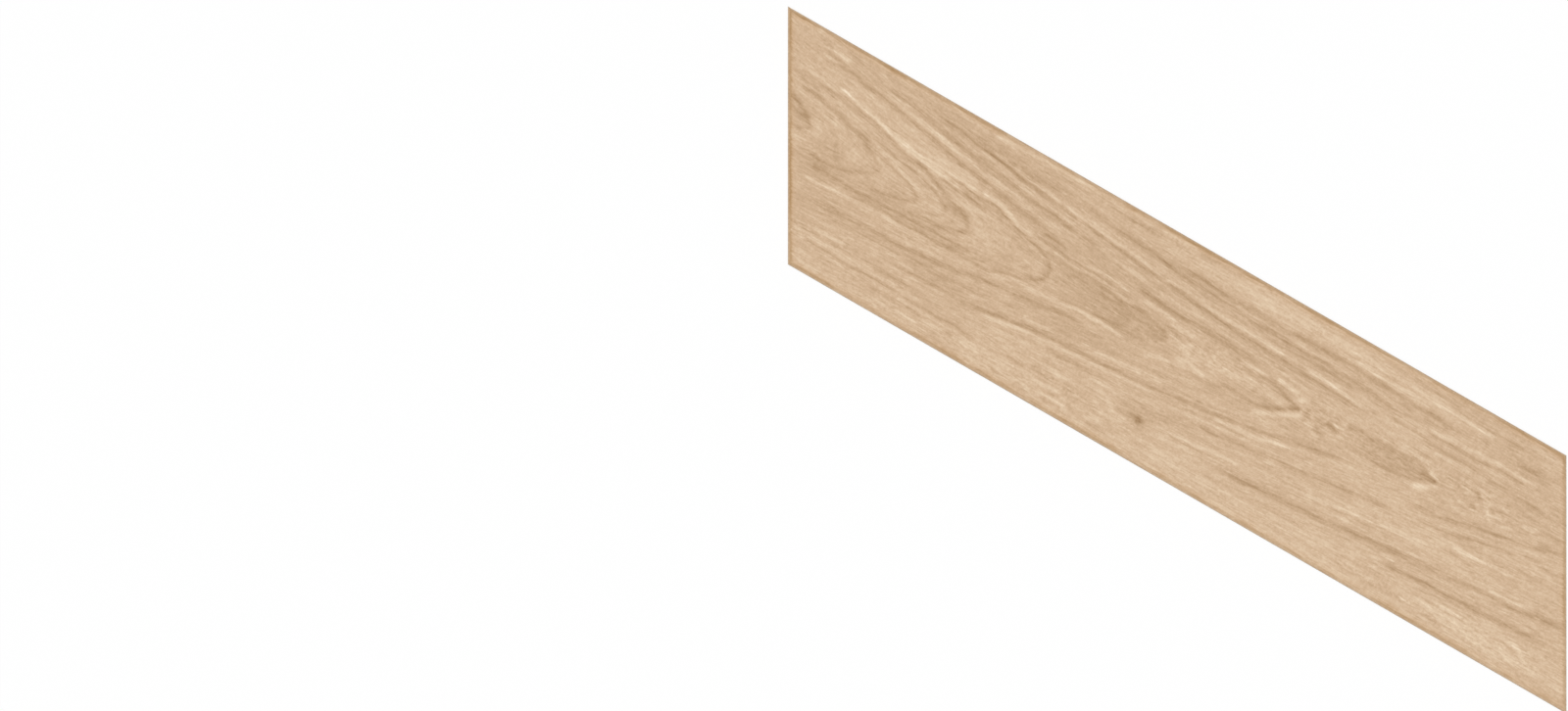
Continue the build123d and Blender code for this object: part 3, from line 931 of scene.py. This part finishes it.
# %% Faces of the back
cell_points = len(cell_rim)
slab = bmesh.new()
points = np.stack([(corner_x + along) * MM, (corner_y - across) * MM, height * MM], -1)
for place in points.tolist():
    slab.verts.new(place)
slab.verts.ensure_lookup_table()
for corners, finish in zip(faces, finishes):
    slab.faces.new([slab.verts[k] for k in corners]).material_index = finish
open_edges = [edge for edge in slab.edges if edge.is_boundary]
for number in range(len(cell_centres)):
    first = ring_start + 2 * cell_points * number
    rim = [slab.verts[first + k] for k in range(cell_points)]
    sole = [slab.verts[first + cell_points + k] for k in range(cell_points)]
    for k in range(cell_points):
        n = (k + 1) % cell_points
        slab.faces.new([rim[k], rim[n], sole[n], sole[k]]).material_index = BACK
        open_edges.append(slab.edges.get([rim[k], rim[n]]))
    slab.faces.new(sole).material_index = BACK
filled = bmesh.ops.triangle_fill(slab, edges=open_edges, use_beauty=True, normal=(0, 0, -1))
for piece in filled["geom"]:
    if isinstance(piece, bmesh.types.BMFace):
        piece.material_index = BACK
bmesh.ops.recalc_face_normals(slab, faces=slab.faces[:])
for face in slab.faces:
    face.smooth = True
print(f"{len(slab.faces)} faces, {sum(edge.is_boundary for edge in slab.edges)} open edges")

# %% The mesh and its stored values
smoothest_corner = math.radians(25)
mesh = bpy.data.meshes.new("fired_tile")
slab.to_mesh(mesh)
slab.free()
mesh.set_sharp_from_angle(angle=smoothest_corner)
stored_values = {
    "even_lane": even_lane,
    "odd_lane": odd_lane,
    "even_share": even_share,
    "odd_share": odd_share,
    "figure": figure,
    "dark": dark,
    "cream": cream,
    "fleck": fleck,
    "rim": rim_distance,
    # strength of the painted shade along the rim
    "painted_rim_shade": painted_rim_shade,
}
for name, values in stored_values.items():
    stored = mesh.attributes.new(name, "FLOAT", "POINT")
    stored.data.foreach_set("value", values.astype(np.float32))
tile = bpy.data.objects.new("fired_tile", mesh)
bpy.context.scene.collection.objects.link(tile)
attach(tile, "root")
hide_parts("chevron_tile")
triangles = sum(len(face.vertices) - 2 for face in mesh.polygons)
print(f"one mesh of {triangles} triangles")

# %% [markdown]
# ## Room for a baked picture
#
# Other programs can't run these nodes, so for them the look has to be baked into one square picture. An
# automatic unwrap gives the back as much room as the print. Here the print takes two thirds of the square,
# drawn upright as a rectangle, the back takes a fifth, and each of the four edges gets a thin strip of its
# own between them.

# %% Lay out the baked picture
bake_margin = 0.005
print_room = (0.33, 0.995)
back_room = (0.005, 0.225)
first_strip = 0.235
strip_pitch = 0.0225
strip_height = 0.0125


def read_mesh(items, name):
    """One whole number for each polygon or corner of the mesh."""
    numbers = np.zeros(len(items), dtype=np.int32)
    items.foreach_get(name, numbers)
    return numbers


def spread(room, share):
    """Share of a stretch, from its low end to its high end."""
    return room[0] + (room[1] - room[0]) * share


corner_point = read_mesh(mesh.loops, "vertex_index")
corner_face = np.repeat(np.arange(len(mesh.polygons)), read_mesh(mesh.polygons, "loop_total"))
corner_finish = read_mesh(mesh.polygons, "material_index")[corner_face]
run_share = ((along - across * lean) / long_edge)[corner_point]
rise_share = (1 - across / board_width)[corner_point]
side_shares = np.stack([1 - rise_share, rise_share, run_share, 1 - run_share])
side_lengths = np.array([board_width, board_width, long_edge, long_edge])
side_gaps = side_shares * side_lengths[:, None]
face_starts = read_mesh(mesh.polygons, "loop_start")
nearest_side = np.add.reduceat(side_gaps, face_starts, axis=1).argmin(0)[corner_face]
on_edge = corner_finish == EDGE
map_x = np.where(on_edge & (nearest_side > 1), rise_share, run_share)
strip = first_strip + strip_pitch * nearest_side + strip_height * height[corner_point] / thickness
map_y = np.where(corner_finish == PRINT, spread(print_room, rise_share), spread(back_room, rise_share))
map_y = np.where(on_edge, strip, map_y)
bake_map = mesh.uv_layers.new(name="OFBake")
bake_places = np.stack([spread((bake_margin, 1 - bake_margin), map_x), map_y], -1)
bake_map.uv.foreach_set("vector", bake_places.ravel().astype(np.float32))
print(f"baked picture laid out for {len(corner_point)} corners")

# %% [markdown]
# ## Small helpers for materials
#
# A node material is easier to read as a few calls than as a hundred lines of links. `join` sets a socket
# from a number, a colour or another socket, and `maths` is one Math node.

# %% Node helpers


def srgb(red, green, blue):
    """Linear colour, with alpha, from 8-bit values as picked in a picture."""
    linear = []
    for level in (red, green, blue):
        share = level / 255
        linear.append(share / 12.92 if share <= 0.04045 else ((share + 0.055) / 1.055) ** 2.4)
    return (*linear, 1.0)


def join(tree, value, socket):
    """Links a socket, or sets a plain value."""
    if isinstance(value, bpy.types.NodeSocket):
        tree.links.new(value, socket)
    else:
        socket.default_value = value


def maths(tree, operation, *values, clamp=False):
    """Output of one Math node."""
    node = tree.nodes.new("ShaderNodeMath")
    node.operation = operation
    node.use_clamp = clamp
    for value, socket in zip(values, node.inputs):
        join(tree, value, socket)
    return node.outputs[0]


def stored_value(tree, name):
    """Value that was stored on the mesh's points."""
    node = tree.nodes.new("ShaderNodeAttribute")
    node.attribute_name = name
    return node.outputs["Fac"]


def object_place(tree):
    """Place on the object, in metres: the whole vector, and its three parts."""
    place = tree.nodes.new("ShaderNodeTexCoord").outputs["Object"]
    parts = tree.nodes.new("ShaderNodeSeparateXYZ")
    tree.links.new(place, parts.inputs[0])
    return place, parts.outputs


def noise(tree, vector, scale, detail=2.0, roughness=0.5):
    """Output of a Noise Texture, about 0.5 on average."""
    node = tree.nodes.new("ShaderNodeTexNoise")
    join(tree, vector, node.inputs["Vector"])
    join(tree, scale, node.inputs["Scale"])
    join(tree, detail, node.inputs["Detail"])
    join(tree, roughness, node.inputs["Roughness"])
    return node.outputs["Fac"]


def ramp(tree, value, stops):
    """Colour ramp with the given (position, colour) stops."""
    node = tree.nodes.new("ShaderNodeValToRGB")
    elements = node.color_ramp.elements
    while len(elements) < len(stops):
        elements.new(0.5)
    for element, (position, colour) in zip(elements, stops):
        element.position = position
        element.color = colour
    join(tree, value, node.inputs["Fac"])
    return node.outputs["Color"]


def mixed(tree, share, first, second):
    """Colour mix of two colours."""
    node = tree.nodes.new("ShaderNodeMix")
    node.data_type = "RGBA"
    factor, colour_a, colour_b = node.inputs[0], node.inputs[6], node.inputs[7]
    join(tree, share, factor)
    join(tree, first, colour_a)
    join(tree, second, colour_b)
    return node.outputs[2]


def new_group(name, inputs, outputs):
    """Empty node group: its tree, its input sockets and its output node."""
    group = bpy.data.node_groups.new(name, "ShaderNodeTree")
    for socket, usual in inputs.items():
        made = group.interface.new_socket(socket, in_out="INPUT", socket_type="NodeSocketFloat")
        made.default_value = usual
    for socket in outputs:
        group.interface.new_socket(socket, in_out="OUTPUT", socket_type="NodeSocketFloat")
    given = group.nodes.new("NodeGroupInput").outputs
    return group, given, group.nodes.new("NodeGroupOutput").inputs


def placed_group(tree, group, **values):
    """A group in a material, with its own input values: its output sockets."""
    node = tree.nodes.new("ShaderNodeGroup")
    node.node_tree = group
    for name, value in values.items():
        node.inputs[name.replace("_", " ")].default_value = value
    return node.outputs


def new_material(name, roughness, specular):
    """Empty Principled material on the tile: its tree and its shader."""
    material = bpy.data.materials.new(name)
    material.use_nodes = True
    shader = material.node_tree.nodes["Principled BSDF"]
    shader.inputs["Roughness"].default_value = roughness
    shader.inputs["Specular IOR Level"].default_value = specular
    mesh.materials.append(material)
    return material.node_tree, shader


print("helpers ready")

# %% [markdown]
# ## Shared effect: fired grit
#
# The cut edge and the pressed back are the same fired body: pale clay with darker and lighter grains of
# feldspar and quartz, and a fine grit to the touch. Two materials use it, so it is one node group with
# its own sockets.

# %% Fired grit
grit, given, out = new_group("fired_grit", {"Grain size": 1.0}, ["Dark grains", "Light grains", "Grit"])
grit_place, _ = object_place(grit)
grit_scale = maths(grit, "DIVIDE", 1 / MM, given["Grain size"])
dark_noise = noise(grit, grit_place, maths(grit, "MULTIPLY", grit_scale, 1.1), 1.0)
light_noise = noise(grit, grit_place, maths(grit, "MULTIPLY", grit_scale, 0.8), 1.0, 0.3)
join(grit, maths(grit, "MULTIPLY_ADD", dark_noise, 7.0, -4.4, clamp=True), out["Dark grains"])
join(grit, maths(grit, "MULTIPLY_ADD", light_noise, 7.0, -4.3, clamp=True), out["Light grains"])
join(grit, noise(grit, grit_place, maths(grit, "MULTIPLY", grit_scale, 2.4), 3.0), out["Grit"])
print("group:", grit.name)

# %% [markdown]
# ## Shared effect: firing clouds
#
# No kiln fires evenly. All three finishes drift a little in tone over several centimetres, so the drift
# is a group too. Its `Spread` says how wide the clouds are, in millimetres.

# %% Firing clouds
kiln, given, out = new_group("firing_clouds", {"Spread": 60.0}, ["Cloud"])
kiln_place, _ = object_place(kiln)
kiln_noise = noise(kiln, kiln_place, maths(kiln, "DIVIDE", 1 / MM, given["Spread"]), 3.0)
join(kiln, maths(kiln, "SUBTRACT", kiln_noise, 0.5), out["Cloud"])
print("group:", kiln.name)

# %% [markdown]
# ## Combed noise
#
# What is finer than the net is made in the shader, from the same lanes: noise whose one direction is the
# place along the board and whose other direction is the lane. Both families of stations are read and
# blended by their shares, so the fibres never show where a station ends.

# %% Combed noise
comb_inputs = {"Length": 10.0, "Width": 1.0, "Seed": 0.0, "Detail": 2.0}
comb, given, out = new_group("combed_noise", comb_inputs, ["Level"])
_, place = object_place(comb)
comb_run = maths(comb, "DIVIDE", maths(comb, "MULTIPLY", place["X"], 1 / MM), given["Length"])
comb_levels = []
for name in ("even", "odd"):
    spot = comb.nodes.new("ShaderNodeCombineXYZ")
    join(comb, comb_run, spot.inputs["X"])
    join(comb, maths(comb, "DIVIDE", stored_value(comb, name + "_lane"), given["Width"]), spot.inputs["Y"])
    join(comb, given["Seed"], spot.inputs["Z"])
    level = maths(comb, "SUBTRACT", noise(comb, spot.outputs[0], 1.0, given["Detail"]), 0.5)
    comb_levels.append(maths(comb, "MULTIPLY", level, stored_value(comb, name + "_share")))
join(comb, maths(comb, "ADD", *comb_levels), out["Level"])
print("group:", comb.name)

# %% [markdown]
# ## The printed glaze
#
# On the real tile an inkjet lays the oak picture on a pale glaze, under a dry matte top coat. The stored
# figure gives the large drawing. The shader adds fibres, dark pores, light hairs, flecks and the grain of
# the print, and breaks the drawn veins up into fibres, because a ring in oak is a row of pores and not a
# line. One tone then runs through a colour ramp from vein brown to cream, because in this wood hue and
# brightness go together.

# %% Printed glaze: one tone
tree, glaze = new_material("printed_oak_glaze", 0.7, 0.3)


def fibres(length, width, seed, detail=2.0):
    """Level of the combed noise in the printed glaze. Sizes in mm."""
    return placed_group(tree, comb, Length=length, Width=width, Seed=seed, Detail=detail)["Level"]


long_fibre = fibres(18.0, 1.5, 3.1)
fine_fibre = fibres(7.0, 0.8, 7.7)
short_grain = fibres(1.9, 1.1, 21.5, 1.0)
print_grain = fibres(0.9, 0.8, 31.3, 1.0)
pore_field = fibres(5.0, 0.55, 12.3, 0.0)
hair_field = fibres(6.0, 0.65, 14.1, 0.0)
fleck_field = fibres(3.0, 1.0, 17.9)
tone = maths(tree, "MULTIPLY_ADD", long_fibre, 14.0, stored_value(tree, "figure"))
tone = maths(tree, "MULTIPLY_ADD", fine_fibre, 44.0, tone)
tone = maths(tree, "MULTIPLY_ADD", short_grain, 22.0, tone)
tone = maths(tree, "MULTIPLY_ADD", print_grain, 28.0, tone)
pores = maths(tree, "MULTIPLY_ADD", pore_field, 9.0, -1.6, clamp=True)
tone = maths(tree, "MULTIPLY_ADD", pores, -10.0, tone)
hairs = maths(tree, "MULTIPLY_ADD", hair_field, 9.0, -1.5, clamp=True)
tone = maths(tree, "MULTIPLY_ADD", hairs, 10.0, tone)
broken = maths(tree, "MULTIPLY_ADD", long_fibre, 1.2, maths(tree, "MULTIPLY", fine_fibre, 0.8))
ring_pores = maths(tree, "MAXIMUM", maths(tree, "SUBTRACT", 1.0, broken), 0.25)
tone = maths(tree, "SUBTRACT", tone, maths(tree, "MULTIPLY", ring_pores, stored_value(tree, "dark")))
cream_fibres = maths(tree, "MAXIMUM", maths(tree, "ADD", broken, 1.0), 0.25)
tone = maths(tree, "MULTIPLY_ADD", cream_fibres, stored_value(tree, "cream"), tone)
fleck_tone = maths(tree, "MULTIPLY", fleck_field, stored_value(tree, "fleck"))
tone = maths(tree, "MULTIPLY_ADD", fleck_tone, 56.0, tone)
glaze_cloud = placed_group(tree, kiln, Spread=70.0)["Cloud"]
tone = maths(tree, "MULTIPLY_ADD", glaze_cloud, 14.0, tone)
print("printed glaze: tone ready")

# %% Printed glaze: tone to colour
tone_reach = 60.0
tone_share = maths(tree, "MULTIPLY_ADD", tone, 0.5 / tone_reach, 0.5, clamp=True)
oak_colours = [
    (0.00, srgb(148, 114, 78)),
    (0.17, srgb(170, 138, 102)),
    (0.30, srgb(185, 154, 120)),
    (0.50, srgb(208, 178, 146)),
    (0.70, srgb(227, 203, 173)),
    (0.83, srgb(240, 219, 192)),
    (1.00, srgb(250, 236, 216)),
]
oak = ramp(tree, tone_share, oak_colours)
print(f"{len(oak_colours)} colours from vein brown to cream")

# %% [markdown]
# Along the rim the print's colour is darkened as painted shade of the ground arris: a thin dark brown line
# and a wider golden one frame the tile. The stored distance from the outline drives both, roughened by the
# fibres.

# %% Painted rim shade, roughness and fine bump
# Painted shade along the outline: two brown bands mixed into the print's colour.
painted_rim_bands = [
    # middle and reach in mm from the outline, strength, colour
    (2.0, 1.6, 0.15, (196, 146, 84)),
    (1.15, 1.0, 0.68, (157, 118, 66)),
]
rim_place = maths(tree, "MULTIPLY_ADD", fine_fibre, 1.5, stored_value(tree, "rim"))
# Strength of the painted rim shade, as stored on the mesh.
painted_rim_share = stored_value(tree, "painted_rim_shade")
framed = oak
for centre, reach, strength, colour in painted_rim_bands:
    away = maths(tree, "ABSOLUTE", maths(tree, "SUBTRACT", rim_place, centre))
    band = maths(tree, "MULTIPLY_ADD", away, -1 / reach, 1.0, clamp=True)
    band = maths(tree, "MULTIPLY", band, maths(tree, "MULTIPLY", painted_rim_share, strength))
    framed = mixed(tree, band, framed, srgb(*colour))
join(tree, framed, glaze.inputs["Base Color"])
join(tree, maths(tree, "MULTIPLY_ADD", fine_fibre, 0.25, 0.7), glaze.inputs["Roughness"])
glaze_bump = tree.nodes.new("ShaderNodeBump")
glaze_bump.inputs["Strength"].default_value = 0.35
glaze_bump.inputs["Distance"].default_value = 0.1 * MM
glaze_height = maths(tree, "SUBTRACT", fine_fibre, maths(tree, "MULTIPLY", pores, 0.5))
join(tree, glaze_height, glaze_bump.inputs["Height"])
join(tree, glaze_bump.outputs["Normal"], glaze.inputs["Normal"])
print("printed glaze: rim and bump ready")

# %% [markdown]
# ## The cut edge
#
# A diamond wheel cuts the tile to size and leaves the bare body with faint lines along the edge. Just
# under the arris a thin pale layer of glaze shows in section.

# %% Cut edge
tree, edge = new_material("cut_edge", 0.8, 0.3)
edge_grit = placed_group(tree, grit, Grain_size=0.8)
edge_cloud = placed_group(tree, kiln, Spread=40.0)["Cloud"]
edge_place, edge_parts = object_place(tree)
saw_place = tree.nodes.new("ShaderNodeVectorMath")
saw_place.operation = "MULTIPLY"
tree.links.new(edge_place, saw_place.inputs[0])
saw_place.inputs[1].default_value = (60.0, 60.0, 5000.0)
saw_lines = noise(tree, saw_place.outputs[0], 1.0, 3.0)
body_share = maths(tree, "ADD", edge_cloud, 0.5)
body = ramp(tree, body_share, [(0.3, srgb(186, 166, 140)), (0.7, srgb(200, 182, 157))])
body = mixed(tree, maths(tree, "MULTIPLY", edge_grit["Dark grains"], 0.45), body, srgb(128, 110, 92))
body = mixed(tree, maths(tree, "MULTIPLY", edge_grit["Light grains"], 0.5), body, srgb(226, 216, 200))
body = mixed(tree, maths(tree, "MULTIPLY_ADD", saw_lines, 1.2, -0.45, clamp=True), body, srgb(160, 140, 116))
glaze_foot = 7.55
glaze_blend = 0.15
glaze_line = maths(
    tree, "MULTIPLY_ADD", edge_parts["Z"], 1 / (glaze_blend * MM), -glaze_foot / glaze_blend, clamp=True
)
join(tree, mixed(tree, glaze_line, body, srgb(176, 140, 100)), edge.inputs["Base Color"])
join(tree, maths(tree, "MULTIPLY_ADD", saw_lines, 0.3, 0.62), edge.inputs["Roughness"])
edge_bump = tree.nodes.new("ShaderNodeBump")
edge_bump.inputs["Strength"].default_value = 0.4
edge_bump.inputs["Distance"].default_value = 0.08 * MM
join(tree, maths(tree, "MULTIPLY_ADD", edge_grit["Grit"], 0.6, saw_lines), edge_bump.inputs["Height"])
join(tree, edge_bump.outputs["Normal"], edge.inputs["Normal"])
print("cut edge ready")

# %% [markdown]
# ## The pressed back
#
# The back is never glazed. It is the same body, a little greyer from the kiln, and the ribs carry a
# chalky film of the wash that keeps tiles from sticking to the rollers. Height tells rib from cell, so no
# painting is needed.

# %% Pressed back
tree, back = new_material("pressed_back", 0.85, 0.25)
back_grit = placed_group(tree, grit, Grain_size=1.1)
back_cloud = placed_group(tree, kiln, Spread=50.0)["Cloud"]
_, back_parts = object_place(tree)
clay_share = maths(tree, "ADD", back_cloud, 0.5)
clay = ramp(tree, clay_share, [(0.3, srgb(176, 158, 136)), (0.7, srgb(192, 176, 153))])
clay = mixed(tree, maths(tree, "MULTIPLY", back_grit["Dark grains"], 0.4), clay, srgb(124, 108, 92))
clay = mixed(tree, maths(tree, "MULTIPLY", back_grit["Light grains"], 0.4), clay, srgb(216, 206, 190))
wash_height = 0.35
rib_share = maths(tree, "MULTIPLY_ADD", back_parts["Z"], -1 / (wash_height * MM), 1.0, clamp=True)
wash = maths(tree, "MULTIPLY_ADD", back_grit["Grit"], 1.6, -0.35, clamp=True)
wash = maths(tree, "MULTIPLY", maths(tree, "MULTIPLY", wash, rib_share), 0.75)
join(tree, mixed(tree, wash, clay, srgb(222, 217, 207)), back.inputs["Base Color"])
join(tree, maths(tree, "MULTIPLY_ADD", back_grit["Grit"], 0.2, 0.75), back.inputs["Roughness"])
back_bump = tree.nodes.new("ShaderNodeBump")
back_bump.inputs["Strength"].default_value = 0.5
back_bump.inputs["Distance"].default_value = 0.1 * MM
join(tree, back_grit["Grit"], back_bump.inputs["Height"])
join(tree, back_bump.outputs["Normal"], back.inputs["Normal"])
print("finishes:", [material.name for material in mesh.materials])

# %% [markdown]
# ## Floor and light
#
# The photograph is a catalogue picture: pure white round the tile and no hard shadow. One wide soft lamp
# stands overhead, a pale sky fills the edges, and together they light a flat colour to about its written
# value. The floor is near white and catches the soft shadow. Camera rays see most of it as plain white,
# so only a faint one is left.

# %% Floor
floor_drop = 0.3 * MM
floor_half = 6.0
floor_glow = 0.88
floor_mesh = bpy.data.meshes.new("floor")
corner_signs = [(-1, -1), (1, -1), (1, 1), (-1, 1)]
floor_corners = [(x * floor_half, y * floor_half, -floor_drop) for x, y in corner_signs]
floor_mesh.from_pydata(floor_corners, [], [(0, 1, 2, 3)])
floor = bpy.data.objects.new("floor", floor_mesh)
bpy.context.scene.collection.objects.link(floor)
paper = bpy.data.materials.new("white_floor")
paper.use_nodes = True
tree = paper.node_tree
tree.nodes.clear()
matte = tree.nodes.new("ShaderNodeBsdfDiffuse")
matte.inputs["Color"].default_value = (0.97, 0.97, 0.97, 1.0)
glow = tree.nodes.new("ShaderNodeEmission")
glow.inputs["Strength"].default_value = 1.0
seen = tree.nodes.new("ShaderNodeLightPath")
floor_mix = tree.nodes.new("ShaderNodeMixShader")
join(tree, maths(tree, "MULTIPLY", seen.outputs["Is Camera Ray"], floor_glow), floor_mix.inputs["Fac"])
tree.links.new(matte.outputs[0], floor_mix.inputs[1])
tree.links.new(glow.outputs[0], floor_mix.inputs[2])
tree.links.new(floor_mix.outputs[0], tree.nodes.new("ShaderNodeOutputMaterial").inputs["Surface"])
floor_mesh.materials.append(paper)
print("floor ready")

# %% Sky and lamp
sky_level = 0.3
lamp_level = 0.7
world = bpy.data.worlds.new("studio")
bpy.context.scene.world = world
world.use_nodes = True
tree = world.node_tree
backdrop = tree.nodes["Background"]
backdrop.inputs["Color"].default_value = (1.0, 1.0, 1.0, 1.0)
seen = tree.nodes.new("ShaderNodeLightPath")
shown = maths(tree, "MAXIMUM", seen.outputs["Is Camera Ray"], seen.outputs["Is Glossy Ray"])
shown = maths(tree, "MAXIMUM", shown, seen.outputs["Is Transmission Ray"])
join(tree, maths(tree, "MULTIPLY_ADD", shown, 1 - sky_level, sky_level), backdrop.inputs["Strength"])
lamp = bpy.data.lights.new("soft_lamp", "SUN")
lamp.energy = lamp_level * math.pi
lamp.angle = math.radians(20)
lamp_object = bpy.data.objects.new("soft_lamp", lamp)
lamp_object.rotation_euler = (math.radians(2), math.radians(-2), 0)
bpy.context.scene.collection.objects.link(lamp_object)
print(f"a flat colour is lit to about {sky_level + lamp_level:.2f} of its value")

# %% [markdown]
# ## Camera
#
# The photograph looks straight down, with the upper left corner of the tile near the top of the frame and
# the long edges falling by 30 degrees. A long lens keeps the upright edges out of sight, as in the
# picture. The camera is placed so that the sharp corner falls on the pixel where the photograph has it.

# %% Camera over the tile
frame_width, frame_height = 1600, 726
corner_pixel = (804.0, 6.4)
pixels_per_mm = 2.280
camera_turn = math.radians(30)
lens = 120.0
camera_data = bpy.data.cameras.new("camera")
camera_data.lens = lens
camera = bpy.data.objects.new("camera", camera_data)
bpy.context.scene.collection.objects.link(camera)
bpy.context.scene.camera = camera
right = (frame_width / 2 - corner_pixel[0]) / pixels_per_mm
down = (frame_height / 2 - corner_pixel[1]) / pixels_per_mm
aim_x = corner_x + right * math.cos(camera_turn) + down * math.sin(camera_turn)
aim_y = corner_y + right * math.sin(camera_turn) - down * math.cos(camera_turn)
distance = frame_width / pixels_per_mm * lens / camera_data.sensor_width
camera.location = (aim_x * MM, aim_y * MM, (thickness + distance) * MM)
camera.rotation_euler = (0, 0, camera_turn)
camera_data.clip_end = 100.0
bpy.context.scene.view_settings.view_transform = "Standard"
print(f"camera {distance / 1000:.2f} m above the face")
